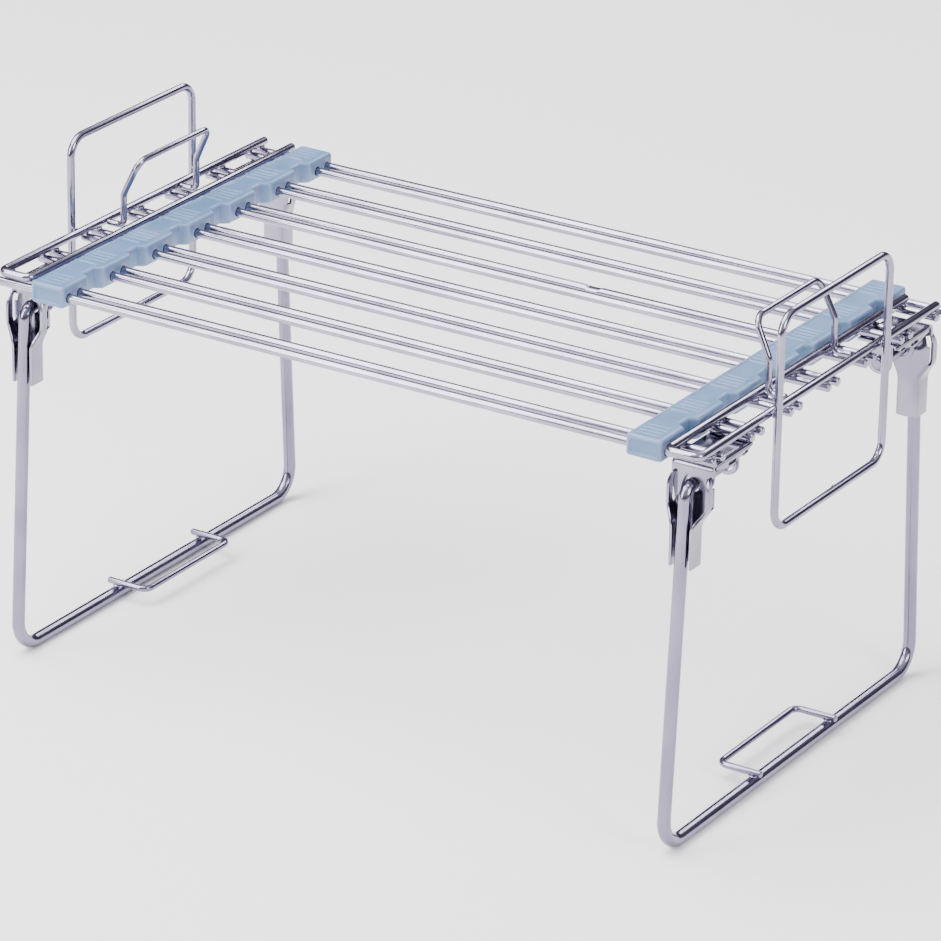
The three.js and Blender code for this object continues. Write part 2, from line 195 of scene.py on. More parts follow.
def wire_mesh(name, points, radius, closed=False, squeeze=None):
    """A round wire along points. squeeze(point) gives its width and height as shares of round."""
    tangents = route_tangents(points, closed)
    normal = tangents[0].orthogonal().normalized()
    if abs(tangents[0].x) > 0.9:
        normal = Vector((0, 1, 0))
    rings = []
    for i, (point, tangent) in enumerate(zip(points, tangents)):
        if i:
            normal = tangents[i - 1].rotation_difference(tangent) @ normal
        normal = (normal - tangent * normal.dot(tangent)).normalized()
        rings.append((point, tangent, normal.copy(), radius))
    if not closed:
        first, last = rings[0], rings[-1]
        start = cut_end_rings(first[0], first[1], first[2], radius, -1)
        finish = cut_end_rings(last[0], last[1], last[2], radius, 1)
        inset = radius * END_ROUNDING
        rings[0] = (first[0] + first[1] * inset, first[1], first[2], radius)
        rings[-1] = (last[0] - last[1] * inset, last[1], last[2], radius)
        rings = [(c, first[1], n, r) for c, n, r in reversed(start)] + rings
        rings += [(c, last[1], n, r) for c, n, r in finish]
    bm = bmesh.new()
    uv_layer = bm.loops.layers.uv.new("UVMap")
    circles, lengths, travelled = [], [], 0.0
    for i, (centre, tangent, across, size) in enumerate(rings):
        if i:
            travelled += (centre - rings[i - 1][0]).length
        lengths.append(travelled)
        other = tangent.cross(across)
        wide, high = squeeze(centre) if squeeze else (1, 1)
        circle = []
        for k in range(ROUND_SIDES):
            angle = 2 * math.pi * k / ROUND_SIDES
            offset = across * math.cos(angle) * wide + other * math.sin(angle) * high
            circle.append(bm.verts.new(centre + offset * size))
        circles.append(circle)
    spans = len(circles) if closed else len(circles) - 1
    girth = 2 * math.pi * radius
    for i in range(spans):
        here, there = circles[i], circles[(i + 1) % len(circles)]
        along = (lengths[i], lengths[i + 1] if i + 1 < len(lengths) else travelled)
        for k in range(ROUND_SIDES):
            after = (k + 1) % ROUND_SIDES
            face = bm.faces.new((here[k], here[after], there[after], there[k]))
            around = (girth * k / ROUND_SIDES, girth * (k + 1) / ROUND_SIDES)
            corners = ((along[0], around[0]), (along[0], around[1]),
                       (along[1], around[1]), (along[1], around[0]))
            for loop, uv in zip(face.loops, corners):
                loop[uv_layer].uv = uv
    if not closed:
        bm.faces.new(list(reversed(circles[0])))
        bm.faces.new(circles[-1])
    bmesh.ops.recalc_face_normals(bm, faces=bm.faces)
    mesh = bpy.data.meshes.new(name)
    bm.to_mesh(mesh)
    bm.free()
    return mesh


# ---- sheet metal ----------------------------------------------------------------------------

def smooth_curve(knots):
    """A smooth function through (x, value) knots in rising x, with gentle ends."""
    def slope(i):
        if i in (0, len(knots) - 1):
            return 0.0
        (x0, v0), (x1, v1) = knots[i - 1], knots[i + 1]
        return (v1 - v0) / (x1 - x0)

    def value(x):
        if x <= knots[0][0]:
            return knots[0][1]
        if x >= knots[-1][0]:
            return knots[-1][1]
        i = max(k for k in range(len(knots) - 1) if knots[k][0] <= x)
        (x0, v0), (x1, v1) = knots[i], knots[i + 1]
        span = x1 - x0
        t = (x - x0) / span
        return ((2 * t**3 - 3 * t**2 + 1) * v0 + (t**3 - 2 * t**2 + t) * span * slope(i)
                + (3 * t**2 - 2 * t**3) * v1 + (t**3 - t**2) * span * slope(i + 1))
    return value


def grid_sheet(name, rows, drop=None):
    """A thick sheet through rows of points. drop(row, column) leaves that cell open."""
    bm = bmesh.new()
    verts = [[bm.verts.new(point) for point in row] for row in rows]
    for i in range(len(rows) - 1):
        for k in range(len(rows[0]) - 1):
            if drop and drop(i, k):
                continue
            bm.faces.new((verts[i][k], verts[i][k + 1], verts[i + 1][k + 1], verts[i + 1][k]))
    bmesh.ops.delete(bm, geom=[v for v in bm.verts if not v.link_faces], context="VERTS")
    mesh = bpy.data.meshes.new(name)
    bm.to_mesh(mesh)
    bm.free()
    obj = new_object(name, mesh, None)
    solidify = obj.modifiers.new("thickness", "SOLIDIFY")
    solidify.thickness = SHEET
    solidify.offset = 0
    solidify.use_even_offset = True
    bevel = obj.modifiers.new("edges", "BEVEL")
    bevel.width = SHEET_EDGE
    bevel.segments = 2
    bevel.limit_method = "ANGLE"
    bevel.angle_limit = BEVEL_OVER
    return baked_mesh(obj)


def stamped_plate(name, outline, holes, to_space):
    """A flat plate with rounded edges. outline and holes are lists of (a, b), and to_space(a, b, depth)
    puts them in the frame, where depth runs from 0 to 1 through the sheet."""
    curve = bpy.data.curves.new(name, "CURVE")
    curve.dimensions = "2D"
    curve.fill_mode = "BOTH"
    curve.extrude = SHEET / 2 - SHEET_EDGE
    curve.bevel_depth = SHEET_EDGE
    curve.bevel_resolution = 2
    curve.offset = -SHEET_EDGE
    for ring in [outline, *holes]:
        spline = curve.splines.new("POLY")
        spline.points.add(len(ring) - 1)
        for point, (a, b) in zip(spline.points, ring):
            point.co = (a, b, 0, 1)
        spline.use_cyclic_u = True
    obj = bpy.data.objects.new(name, curve)
    bpy.context.scene.collection.objects.link(obj)
    mesh = baked_mesh(obj)
    bm = bmesh.new()
    bm.from_mesh(mesh)
    bmesh.ops.remove_doubles(bm, verts=bm.verts, dist=1e-6)
    for vert in bm.verts:
        a, b, height = vert.co
        vert.co = to_space(a, b, height / SHEET + 0.5)
    bmesh.ops.recalc_face_normals(bm, faces=bm.faces)
    bm.to_mesh(mesh)
    bm.free()
    return mesh


def circle_points(a, b, radius):
    angles = [2 * math.pi * k / HOLE_SIDES for k in range(HOLE_SIDES)]
    return [(a + radius * math.cos(t), b + radius * math.sin(t)) for t in angles]


def slot_points(a, b, half_length, radius):
    ends = []
    for side, start in ((1, -math.pi / 2), (-1, math.pi / 2)):
        for k in range(SLOT_END_STEPS + 1):
            t = start + math.pi * k / SLOT_END_STEPS
            ends.append((a + side * half_length + radius * math.cos(t), b + radius * math.sin(t)))
    return ends


# ---- materials ------------------------------------------------------------------------------

def nodes_of(name):
    material = bpy.data.materials.new(name)
    material.use_nodes = True
    tree = material.node_tree
    return material, tree, tree.nodes["Principled BSDF"]


def link(tree, source, target):
    tree.links.new(source, target)


def noise(tree, coordinates, scale, detail=4.0, stretch=(1, 1, 1)):
    """Noise of about scale cells to a metre, with the coordinates stretched first."""
    mapping = tree.nodes.new("ShaderNodeMapping")
    mapping.inputs["Scale"].default_value = stretch
    link(tree, coordinates, mapping.inputs["Vector"])
    texture = tree.nodes.new("ShaderNodeTexNoise")
    texture.inputs["Scale"].default_value = scale
    texture.inputs["Detail"].default_value = detail
    link(tree, mapping.outputs["Vector"], texture.inputs["Vector"])
    return texture.outputs["Fac"]


def remap(tree, value, low, high, start=0.3, end=0.7):
    """Turns start..end into low..high."""
    node = tree.nodes.new("ShaderNodeMapRange")
    node.inputs["From Min"].default_value = start
    node.inputs["From Max"].default_value = end
    node.inputs["To Min"].default_value = low
    node.inputs["To Max"].default_value = high
    link(tree, value, node.inputs["Value"])
    return node.outputs["Result"]


def blend_colours(tree, factor, first, second):
    node = tree.nodes.new("ShaderNodeMix")
    node.data_type = "RGBA"
    link(tree, factor, node.inputs["Factor"])
    for key, colour in (("A", first), ("B", second)):
        socket = [s for s in node.inputs if s.name == key and s.type == "RGBA"][0]
        if isinstance(colour, tuple):
            socket.default_value = (*colour, 1)
        else:
            link(tree, colour, socket)
    return [s for s in node.outputs if s.type == "RGBA"][0]


def bump(tree, height, strength, distance, after=None):
    node = tree.nodes.new("ShaderNodeBump")
    node.inputs["Strength"].default_value = strength
    node.inputs["Distance"].default_value = distance
    link(tree, height, node.inputs["Height"])
    if after:
        link(tree, after, node.inputs["Normal"])
    return node.outputs["Normal"]


def chrome(name, bright, shaded, smooth, dull, drawn):
    """Plated steel: drifting tint, smudged roughness, tiny pits, and draw lines along a wire."""
    material, tree, shader = nodes_of(name)
    coordinates = tree.nodes.new("ShaderNodeTexCoord")
    place, along = coordinates.outputs["Object"], coordinates.outputs["UV"]
    shader.inputs["Metallic"].default_value = 1.0
    cloud = noise(tree, place, 42.0)
    tint = blend_colours(tree, remap(tree, cloud, 0, 1), bright, shaded)
    pits = remap(tree, noise(tree, place, 1500.0, 2.0), 0, 1, 0.70, 0.78)
    darker = tuple(0.55 * c for c in shaded)
    link(tree, blend_colours(tree, pits, tint, darker), shader.inputs["Base Color"])
    smudge = remap(tree, noise(tree, place, 90.0, 5.0), smooth, dull)
    link(tree, smudge, shader.inputs["Roughness"])
    if drawn:
        lines = noise(tree, along, 1.0, 3.0, stretch=(22, 2600, 1))
        normal = bump(tree, lines, 0.04, 0.02 * MM)
    else:
        normal = bump(tree, noise(tree, place, 420.0, 3.0), 0.12, 0.05 * MM)
    normal = bump(tree, noise(tree, place, 2400.0, 2.0), 0.03, 0.02 * MM, after=normal)
    link(tree, normal, shader.inputs["Normal"])
    return material


def frosted_plastic(name):
    """Pale blue moulded plastic that light enters, with a fine spark texture and sharp edges painted
    lighter: a painted highlight together with rubbing wear.
    """
    material, tree, shader = nodes_of(name)
    coordinates = tree.nodes.new("ShaderNodeTexCoord")
    place = coordinates.outputs["Object"]
    deep, pale, edge_highlight_and_wear = (0.07, 0.165, 0.285), (0.135, 0.20, 0.365), (0.27, 0.31, 0.48)
    body = blend_colours(tree, remap(tree, noise(tree, place, 55.0, 3.0), 0, 1), deep, pale)
    geometry = tree.nodes.new("ShaderNodeNewGeometry")
    # Sharp convex edges, found by pointiness, are painted a lighter lavender: a painted edge highlight,
    # together with rubbing wear.
    edges = remap(tree, geometry.outputs["Pointiness"], 0, 0.75, 0.505, 0.56)
    link(tree, blend_colours(tree, edges, body, edge_highlight_and_wear), shader.inputs["Base Color"])
    link(tree, remap(tree, noise(tree, place, 160.0), 0.34, 0.5), shader.inputs["Roughness"])
    shader.inputs["Subsurface Weight"].default_value = 0.30
    shader.inputs["Subsurface Radius"].default_value = (0.6, 0.9, 1.4)
    shader.inputs["Subsurface Scale"].default_value = 1.5 * MM
    shader.inputs["Coat Weight"].default_value = 0.08
    spark = bump(tree, noise(tree, place, 2600.0, 2.0), 0.18, 0.04 * MM)
    flow = bump(tree, noise(tree, place, 130.0, 2.0), 0.08, 0.15 * MM, after=spark)
    link(tree, flow, shader.inputs["Normal"])
    return material


def pale_floor(name):
    material, tree, shader = nodes_of(name)
    coordinates = tree.nodes.new("ShaderNodeTexCoord")
    cloud = noise(tree, coordinates.outputs["Object"], 1.5, 2.0)
    colour = blend_colours(tree, cloud, (0.955, 0.955, 0.96), (0.97, 0.97, 0.972))
    link(tree, colour, shader.inputs["Base Color"])
    shader.inputs["Roughness"].default_value = 0.9
    shader.inputs["Specular IOR Level"].default_value = 0.1
    return material


ROD = chrome("rod_chrome", (0.38, 0.36, 0.45), (0.27, 0.255, 0.33), 0.10, 0.20, True)
FRAME = chrome("frame_chrome", (0.34, 0.32, 0.41), (0.24, 0.225, 0.30), 0.08, 0.17, True)
LOOP = chrome("loop_chrome", (0.33, 0.31, 0.40), (0.24, 0.225, 0.30), 0.08, 0.17, True)
# The leg set's chrome is a darker copy of the same plating: painted shade, so the upright wires, which
# mirror only the bright floor, come out mid-tone.
LEG = chrome("leg_chrome", (0.27, 0.25, 0.34), (0.205, 0.19, 0.265), 0.12, 0.24, True)
STAMPED = chrome("stamped_chrome", (0.34, 0.325, 0.40), (0.23, 0.215, 0.28), 0.10, 0.24, False)
PLASTIC = frosted_plastic("guide_plastic_blue")


# ---- one half of the rack -------------------------------------------------------------------

class Half:
    """Where one half lies, read from the frame, and how its pieces ride."""

    def __init__(self, side):
        self.side = side
        self.sign = -1 if side == "left" else 1
        low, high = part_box(f"{side}_leg")
        self.middle_y = (low.y + high.y) / 2
        self.body = "root" if side == "left" else "right_half"
        self.leg_body = f"{side}_leg_set"

    def at(self, out, y, z):
        return Vector((self.sign * out, self.middle_y + y, z))

    def extents(self, part):
        """(least out, most out, least y, most y, least z, most z), with y from the half's middle."""
        low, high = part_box(f"{self.side}_{part}")
        outs = sorted((self.sign * low.x, self.sign * high.x))
        return (*outs, low.y - self.middle_y, high.y - self.middle_y, low.z, high.z)

    def finish(self, obj, part, body, slot):
        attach(obj, body)
        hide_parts(f"{self.side}_{part}")


def end_frame(half):
    inner, outer, front, back, low, high = half.extents("end_frame")
    radius = (high - low) / 2 * FRAME_FACET_SHARE
    z = (low + high) / 2
    inner, outer, front = inner + radius, outer - radius, front + radius
    corners = [half.at(inner, back, z), half.at(inner, front, z),
               half.at(outer, front, z), half.at(outer, back, z)]
    route = rounded_route(corners, [FRAME_BEND, FRAME_BEND])
    obj = new_object(f"{half.side}_end_frame_wire", wire_mesh("end_frame", route, radius), FRAME)
    half.finish(obj, "end_frame", half.body, "frame_wire")


def stacking_loop(half):
    inner, outer, front, back, low, high = half.extents("stacking_loop")
    radius = (outer - inner) / 2
    out = (inner + outer) / 2
    front, back, low, high = front + radius, back - radius, low + radius, high - radius
    corners = [half.at(out, front, low), half.at(out, back, low),
               half.at(out, back, high), half.at(out, front, high)]
    route = rounded_route(corners, LOOP_BEND, closed=True)
    mesh = wire_mesh("stacking_loop", route, radius, closed=True)
    obj = new_object(f"{half.side}_stacking_loop_wire", mesh, LOOP)
    half.finish(obj, "stacking_loop", half.body, "loop_wire")


FRAME_RADIUS = 2.05 * MM
ARCH_RADIUS = 1.5 * MM
ARCH_CLEARANCE = 0.4 * MM             # between the arch and the frame's inner wire
ARCH_KNEE = 15 * MM                   # height of the knee above the foot
ARCH_TAPER = 1 * MM                   # how much nearer the middle each top corner is than its foot


def stacking_arch(half):
    top_out, tip, front, back, low, high = half.extents("stacking_arch")
    radius = ARCH_RADIUS
    foot_out = half.extents("end_frame")[0] + 2 * FRAME_RADIUS + radius + ARCH_CLEARANCE
    foot_z, knee_z = low + radius, low + radius + ARCH_KNEE
    half_width = (back - front) / 2 - radius
    top_out, top_z = top_out + radius, high - radius
    side = [(tip, half_width, foot_z), (foot_out, half_width, foot_z),
            (foot_out, half_width, knee_z), (top_out, half_width - ARCH_TAPER, top_z)]
    corners = [half.at(o, -y, z) for o, y, z in side]
    corners += [half.at(o, y, z) for o, y, z in reversed(side)]
    mesh = wire_mesh("stacking_arch", rounded_route(corners, ARCH_BENDS), radius)
    obj = new_object(f"{half.side}_stacking_arch_wire", mesh, LOOP)
    half.finish(obj, "stacking_arch", half.body, "loop_wire")


def pivot(half):
    """(out, z) of the leg's hinge, from the joint in the record."""
    joint = [j for j in frame["joints"] if j["name"] == f"{half.side}_leg_fold"][0]
    return abs(joint["pos_m"][0]), joint["pos_m"][2]


LEG_LEAN = 9.9 * MM                   # how much further out a leg's foot is than its top
PIN_END_Y = 64 * MM


def leg_wire(half):
    inner, outer, front, back, low, _ = half.extents("leg")
    radius = (outer - inner) / 2 * FACET_SHARE
    out, hinge_z = pivot(half)
    foot_y = (back - front) / 2 - radius
    top_y = foot_y - LEG_LEAN
    z = low + radius
    side = [(PIN_END_Y, hinge_z), (top_y, hinge_z), (foot_y, z)]
    corners = [half.at(out, -y, h) for y, h in side]
    corners += [half.at(out, y, h) for y, h in reversed(side)]
    bends = [LEG_PIN_BEND, LEG_FOOT_BEND, LEG_FOOT_BEND, LEG_PIN_BEND]
    obj = new_object(f"{half.side}_leg_wire", wire_mesh("leg", rounded_route(corners, bends), radius), LEG)
    half.finish(obj, "leg", half.leg_body, "leg_wire")


def foot_clip(half):
    inner, outer, front, back, low, high = half.extents("foot_clip")
    radius = (high - low) / 2 * FACET_SHARE
    z = (low + high) / 2
    front, back, inner = front + radius, back - radius, inner + radius
    corners = [half.at(outer, front, z), half.at(inner, front, z),
               half.at(inner, back, z), half.at(outer, back, z)]
    route = rounded_route(corners, [FOOT_CLIP_BEND, FOOT_CLIP_BEND])
    obj = new_object(f"{half.side}_foot_clip_wire", wire_mesh("foot_clip", route, radius), LEG)
    half.finish(obj, "foot_clip", half.leg_body, "leg_wire")


ROD_RADIUS = 2 * MM
STOP_START, STOP_END, STOP_TAPER = 37 * MM, 46 * MM, 2 * MM
STOP_WIDER, STOP_FLATTER = 0.24, 0.28
STOP_STEPS = 12


def shelf_rod(half, index):
    part = f"rod_{index}"
    low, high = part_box(f"{half.side}_{part}")
    z = (low.z + high.z) / 2
    y = (low.y + high.y) / 2
    has_stop = f"{half.side}_{part}" == STOP_ROD

    def squeeze(point):
        if not has_stop:
            return 1, 1
        depth = min(point.x - STOP_START, STOP_END - point.x) / STOP_TAPER
        flat = max(0.0, min(1.0, depth))
        return 1 + STOP_WIDER * flat, 1 - STOP_FLATTER * flat

    stations = [low.x, high.x]
    if has_stop:
        stations[1:1] = [STOP_START + (STOP_END - STOP_START) * k / STOP_STEPS
                         for k in range(STOP_STEPS + 1)]
    points = [Vector((x, y, z)) for x in stations]
    mesh = wire_mesh(part, points, ROD_RADIUS, squeeze=squeeze)
    obj = new_object(f"{half.side}_{part}_wire", mesh, ROD)
    half.finish(obj, part, half.body, "rod_wire")


# ---- hinge bracket --------------------------------------------------------------------------

APRON_BEND = 2.6 * MM
FLANGE_BEND = 1.0 * MM
FLANGE_SHORT = 3.6 * MM               # how far short of the apron the side flange ends
APRON_LIP = 1.1 * MM                  # reaches into the slot of the leg clip's inner wall
SHEET_BEND_STEPS, APRON_STEPS = 8, 14
FLANGE_BEND_STEPS, FLANGE_STEPS = 6, 60
LUG_HALF_WIDTH, LUG_DROP, LUG_STEPS = 6 * MM, 5.4 * MM, 12
LUG_HOLE = 3.6 * MM
LUG_YS = (66 * MM, 86 * MM)


def hinge_bracket(half, end):
    """Plate with a rounded bend down to an arched apron, a scalloped side flange and two lugs."""
    part = f"{end}_hinge_bracket"
    inner, outer, front, back, low, top = half.extents(part)
    turn = 1 if end == "back" else -1
    near, far = sorted((abs(front), abs(back)))
    middle_z = top - SHEET / 2
    apron_y = far - SHEET / 2
    flange_out = outer - SHEET / 2
    flange_end = far - FLANGE_SHORT
    sheet_in = inner - APRON_LIP
    edge = smooth_curve([
        (sheet_in, low + 10.6 * MM), (sheet_in + 0.5 * MM, low + 6.6 * MM),
        (sheet_in + 1.1 * MM, low + 2.9 * MM), (sheet_in + 1.8 * MM, low + 0.5 * MM),
        (inner + 1.6 * MM, low),
        (inner + 3.3 * MM, low + 2.7 * MM), (inner + 4.0 * MM, low + 6.4 * MM),
        (inner + 5.5 * MM, low + 9.7 * MM), (inner + 8.7 * MM, low + 11.7 * MM),
        (inner + 12.2 * MM, low + 11.4 * MM), (inner + 15.2 * MM, low + 10.1 * MM),
        (outer, low + 10.8 * MM),
    ])
    flat_end = flange_out - FLANGE_BEND
    flat_columns, tab_columns, plate_steps = 58, 4, 10
    columns = [sheet_in + (flat_end - sheet_in) * k / flat_columns for k in range(flat_columns + 1)]
    columns += [flat_end + (outer - flat_end) * k / tab_columns for k in range(1, tab_columns + 1)]
    plate_end = apron_y - APRON_BEND
    plate_rows = [near + (flange_end - near) * k / plate_steps for k in range(plate_steps + 1)]
    rows = [[half.at(out, turn * y, middle_z) for out in columns] for y in [*plate_rows, plate_end]]
    for k in range(1, SHEET_BEND_STEPS + 1):
        angle = math.pi / 2 * k / SHEET_BEND_STEPS
        y = plate_end + APRON_BEND * math.sin(angle)
        z = middle_z - APRON_BEND * (1 - math.cos(angle))
        rows.append([half.at(out, turn * y, z) for out in columns])
    start = middle_z - APRON_BEND
    for k in range(1, APRON_STEPS + 1):
        share = k / APRON_STEPS
        rows.append([half.at(out, turn * apron_y, start + (edge(out) - start) * share) for out in columns])

    def beside_flange(i, k):
        return i < plate_steps and k >= flat_columns

    sheet = grid_sheet("bracket_sheet", rows, drop=beside_flange)
    bend_rows = []
    for y in plate_rows:
        bend = []
        for k in range(FLANGE_BEND_STEPS + 1):
            angle = math.pi / 2 * k / FLANGE_BEND_STEPS
            out = flat_end + FLANGE_BEND * math.sin(angle)
            bend.append(half.at(out, turn * y, middle_z - FLANGE_BEND * (1 - math.cos(angle))))
        bend_rows.append(bend)
    flange_bend = grid_sheet("flange_bend", bend_rows)

    wave = smooth_curve([
        (near, top - 2.0 * MM), (near + 3.5 * MM, top - 3.4 * MM), (near + 6.5 * MM, top - 4.6 * MM),
        (near + 9.5 * MM, top - 4.0 * MM), (near + 13 * MM, top - 4.6 * MM),
        (near + 17 * MM, top - 5.9 * MM), (near + 21 * MM, top - 5.2 * MM),
        (near + 25.5 * MM, top - 4.0 * MM), (flange_end, top - 3.2 * MM),
    ])
    steps = [near + (flange_end - near) * k / FLANGE_STEPS for k in range(FLANGE_STEPS + 1)]
    flange_top = middle_z - FLANGE_BEND
    outline = [(y, wave(y)) for y in steps] + [(flange_end, flange_top), (near, flange_top)]
    slots = [slot_points(near + 6.3 * MM, top - 3.2 * MM, 1.7 * MM, 0.5 * MM),
             slot_points(near + 16.8 * MM, top - 3.8 * MM, 2.6 * MM, 0.7 * MM)]
    flange = stamped_plate(
        "bracket_flange", outline, slots,
        lambda y, z, depth: half.at(outer - SHEET + depth * SHEET, turn * y, z))

    hinge_out, hinge_z = pivot(half)
    lug_in, lug_out = hinge_out - LUG_HALF_WIDTH, hinge_out + LUG_HALF_WIDTH
    lug_outline = [(lug_in, top - SHEET), (lug_in, hinge_z)]
    for k in range(1, LUG_STEPS):
        t = math.pi * (1 + k / LUG_STEPS)
        lug_outline.append((hinge_out + LUG_HALF_WIDTH * math.cos(t), hinge_z + LUG_DROP * math.sin(t)))
    lug_outline += [(lug_out, hinge_z), (lug_out, top - SHEET)]
    hole = circle_points(hinge_out, hinge_z, LUG_HOLE)
    lugs = []
    for y in LUG_YS:
        lugs.append(stamped_plate(
            "bracket_lug", lug_outline, [hole],
            lambda out, z, depth, y=y: half.at(out, turn * (y + depth * SHEET), z)))
    obj = joined(f"{half.side}_{part}_sheet", [sheet, flange_bend, flange, *lugs], STAMPED)
    shade_by_angle(obj)
    half.finish(obj, part, half.body, "stamped_steel")


# ---- leg clip -------------------------------------------------------------------------------

CLIP_BEND = 1.4 * MM
CLIP_NECK = 4.8 * MM
CLIP_INNER_EAR = 8.6 * MM
CLIP_OUTER_EAR = 10.0 * MM
CLIP_SLOT_FOOT = -8.8 * MM            # above this the bracket's apron stands between web and ears
CLIP_SLOT_FRONT = 3.05 * MM           # the walls start this far in front of the back of the web
CLIP_EAR_TOP = 5.4 * MM
CLIP_EAR_SLOPE = 6.5 * MM             # how much lower the front of an ear is than its back
CLIP_EAR_CUT = 0.46                   # share of the wall's depth that is cut away at the ears
CLIP_LEAN_IN = 1.4 * MM               # how far the top of an ear leans in
CLIP_DOME = 9 * MM                    # height of the web above the hinge
CLIP_DOME_POWER = 2.3
CLIP_HOLE, CLIP_HOLE_LENGTH = 3.3 * MM, 4 * MM
CLIP_ROW_TOLERANCE = 0.1 * MM
CLIP_LOWER_ROWS, CLIP_UPPER_ROWS = 22, 16
WALL_STEPS, CLIP_BEND_STEPS, WEB_STEPS = 6, 5, 16


def clip_flare(z):
    """How far the channel has opened into the spade at height z above the hinge, from 0 to 1."""
    rise = max(0.0, min(1.0, (z + 18 * MM) / (11.5 * MM)))
    return rise * rise * (3 - 2 * rise)


def clip_half_width(z, ear):
    """Half width of the spade at height z above the hinge."""
    lean = max(0.0, min(1.0, (z - 0.5 * MM) / (5 * MM)))
    return CLIP_NECK + (ear - CLIP_NECK) * clip_flare(z) - CLIP_LEAN_IN * lean * lean


def leg_clip(half, end):
    """Spade-shaped channel: a web that the pin goes through, and two walls round the leg wire."""
    part = f"{end}_leg_clip"
    _, _, front, back, low, _ = half.extents(part)
    turn = 1 if end == "back" else -1
    near, far = sorted((abs(front), abs(back)))
    web_y = near + SHEET / 2
    hinge_out, hinge_z = pivot(half)
    bottom = low - hinge_z
    slot_front = near + CLIP_SLOT_FRONT

    wall = [far - (far - slot_front) * k / WALL_STEPS for k in range(WALL_STEPS + 1)]
    bend_angles = [math.pi / 2 * k / CLIP_BEND_STEPS for k in range(CLIP_BEND_STEPS + 1)]
    # The bends end on the web's two edges, so the web itself has only the columns between them.
    web_shares = [-1 + 2 * k / WEB_STEPS for k in range(1, WEB_STEPS)]
    # A column is ("wall", side, y), ("bend", side, angle) or ("web", share).
    left = [("wall", -1, y) for y in wall] + [("bend", -1, a) for a in bend_angles]
    web = [("web", share) for share in web_shares]
    right = [("bend", 1, a) for a in reversed(bend_angles)]
    right += [("wall", 1, y) for y in reversed(wall)]
    columns = left + web + right

    def column_top(column):
        if column[0] == "wall":
            share = (column[2] - slot_front) / (far - slot_front)
            return CLIP_EAR_TOP - CLIP_EAR_SLOPE * share**3
        share = abs(column[1]) if column[0] == "web" else 1.0
        return CLIP_DOME * max(0.0, 1 - share**CLIP_DOME_POWER) ** (1 / CLIP_DOME_POWER)

    def point(column, z):
        if column[0] == "web":
            ear = CLIP_INNER_EAR if column[1] < 0 else CLIP_OUTER_EAR
            reach = clip_half_width(min(z, 0.0), ear) - CLIP_BEND
            return half.at(hinge_out + column[1] * reach, turn * web_y, hinge_z + z)
        side = column[1]
        ear = CLIP_INNER_EAR if side < 0 else CLIP_OUTER_EAR
        width = clip_half_width(z, ear)
        if column[0] == "wall":
            y = slot_front + (column[2] - slot_front) * (1 - CLIP_EAR_CUT * clip_flare(z))
            return half.at(hinge_out + side * width, turn * y, hinge_z + z)
        out = width - CLIP_BEND + CLIP_BEND * math.cos(column[2])
        y = web_y + CLIP_BEND - CLIP_BEND * math.sin(column[2])
        if z > CLIP_SLOT_FOOT + CLIP_ROW_TOLERANCE:
            y = web_y
        return half.at(hinge_out + side * out, turn * y, hinge_z + z)

    rows = []
    for i in range(CLIP_LOWER_ROWS + 1):
        z = bottom + (CLIP_SLOT_FOOT - bottom) * i / CLIP_LOWER_ROWS
        rows.append([point(column, z) for column in columns])
    for i in range(1, CLIP_UPPER_ROWS + 1):
        share = i / CLIP_UPPER_ROWS
        rows.append([
            point(column, CLIP_SLOT_FOOT + (column_top(column) - CLIP_SLOT_FOOT) * share)
            for column in columns])

    def in_slot(i, k):
        if i < CLIP_LOWER_ROWS:
            return False
        return {columns[k][0], columns[k + 1][0]} == {"bend", "wall"}

    sheet = grid_sheet("leg_clip", rows, drop=in_slot)
    obj = joined(f"{half.side}_{part}_sheet", [sheet], STAMPED)
    cut_round_hole(obj, half.at(hinge_out, turn * web_y, hinge_z), CLIP_HOLE, CLIP_HOLE_LENGTH)
    shade_by_angle(obj)
    half.finish(obj, part, half.leg_body, "stamped_steel")


def cylinder_mesh(centre, axis, radius, length):
    bm = bmesh.new()
    bmesh.ops.create_cone(
        bm, cap_ends=True, segments=HOLE_SIDES, radius1=radius, radius2=radius, depth=length)
    turn = Vector((0, 0, 1)).rotation_difference(axis).to_matrix().to_4x4()
    bmesh.ops.transform(bm, matrix=Matrix.Translation(centre) @ turn, verts=bm.verts)
    mesh = bpy.data.meshes.new("cutter")
    bm.to_mesh(mesh)
    bm.free()
    return mesh


def cut_with(obj, meshes):
    """Cuts the meshes out of the object."""
    cutter = joined("cutter", meshes, None)
    modifier = obj.modifiers.new("holes", "BOOLEAN")
    modifier.operation = "DIFFERENCE"
    modifier.solver = "EXACT"
    modifier.object = cutter
    bpy.context.view_layer.update()
    graph = bpy.context.evaluated_depsgraph_get()
    obj.data = bpy.data.meshes.new_from_object(obj.evaluated_get(graph))
    obj.modifiers.clear()
    bpy.data.objects.remove(cutter)


def cut_round_hole(obj, centre, radius, length):
    cut_with(obj, [cylinder_mesh(centre, Vector((0, 1, 0)), radius, length)])


# ---- guide bar ------------------------------------------------------------------------------

BAR_CORNER = 1.7 * MM
BAR_END_ROUND = 1.5 * MM
BAR_END_CORNER = 1.2 * MM
